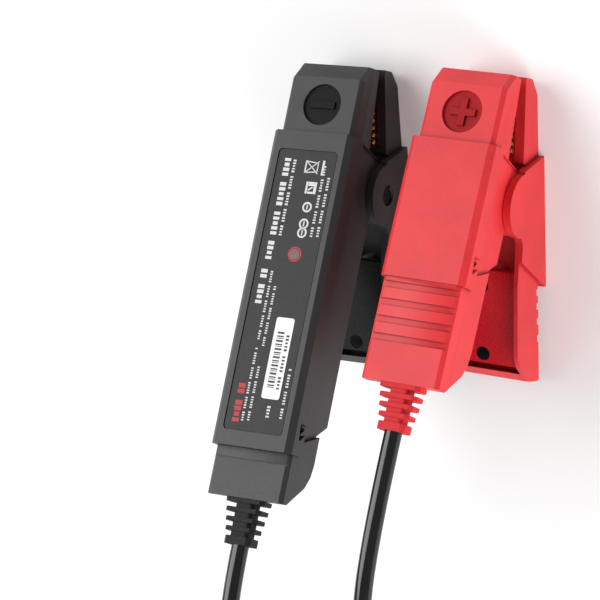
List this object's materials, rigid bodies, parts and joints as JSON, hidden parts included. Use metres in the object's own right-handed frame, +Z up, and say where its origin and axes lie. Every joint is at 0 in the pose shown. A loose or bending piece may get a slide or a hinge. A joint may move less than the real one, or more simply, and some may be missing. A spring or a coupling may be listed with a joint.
{
  "type": "battery tester",
  "caption": "Clamp-on battery tester: a long black spring clamp with built-in electronics and a short red one, joined by a cable.",
  "frame": {"origin": "on the resting plane, straight below the middle of the black clamp's pivot", "axes": "+Z up, +Y from the pivots towards the jaws, +X from the black clamp towards the red one"},
  "size_m": [0.0838, 0.3225, 0.1177],
  "materials": {
    "black_plastic": "fine spark-eroded texture",
    "red_plastic": "fine spark-eroded texture",
    "black_disc": "smooth",
    "red_disc": "smooth",
    "black_rubber": "soft moulded",
    "red_rubber": "soft moulded",
    "cable_jacket": "glossy jacket",
    "label": "printed film",
    "steel": "plated",
    "copper": "copper, stamped",
    "board": "solder mask",
    "can": "drawn",
    "chip": "moulded epoxy",
    "ceramic": "fired ceramic",
    "led": "clear moulded",
    "wire_insulation": "wire insulation"
  },
  "bodies": {
    "front_halves": {"black_base_shell": "black_plastic", "black_front_cover": "black_plastic", "black_polarity_disc": "black_disc", "black_shell_screws": "steel", "black_fixed_contact": "copper", "black_contact_bolts": "steel", "black_contact_nuts": "steel", "black_pivot_pin": "steel", "black_pin_clip": "steel", "black_torsion_spring": "steel", "black_strain_relief": "black_rubber", "black_label": "label", "black_circuit_board": "board", "black_radio_module": "can", "black_controller_chip": "chip", "black_capacitors": "can", "black_load_resistor": "ceramic", "black_status_led": "led", "black_light_guide": "led", "black_sense_wire": "wire_insulation", "black_supply_wire": "wire_insulation", "red_base_shell": "red_plastic", "red_front_cover": "red_plastic", "red_polarity_disc": "red_disc", "red_shell_screws": "steel", "red_fixed_contact": "copper", "red_contact_bolts": "steel", "red_contact_nuts": "steel", "red_pivot_pin": "steel", "red_pin_clip": "steel", "red_torsion_spring": "steel", "red_strain_relief": "red_rubber", "red_jaw_wire": "wire_insulation", "cable": "cable_jacket"},
    "black_lever": {"black_lever": "black_plastic", "black_lever_liner": "black_plastic", "black_liner_screws": "steel", "black_lever_contact": "copper", "black_lever_contact_screws": "steel"},
    "red_lever": {"red_lever": "red_plastic", "red_lever_liner": "red_plastic", "red_liner_screws": "steel", "red_lever_contact": "copper", "red_lever_contact_screws": "steel", "red_pivot_caps": "red_plastic"}
  },
  "joints": [
    {"name": "black_lever_hinge", "type": "hinge", "parent": "front_halves", "child": "black_lever", "pos_m": [0, 0, 0.0155], "axis": [-1, 0, 0], "range_deg": [0, 25], "stiffness_Nm_per_rad": 1.2, "springref_deg": -40.11, "deforming": ["black_torsion_spring"]},
    {"name": "red_lever_hinge", "type": "hinge", "parent": "front_halves", "child": "red_lever", "pos_m": [0.0503, 0.0012, 0.0155], "axis": [-0.9993, 0.0384, 0], "range_deg": [0, 25], "stiffness_Nm_per_rad": 1.2, "springref_deg": -40.11, "deforming": ["red_torsion_spring"]}
  ]
}
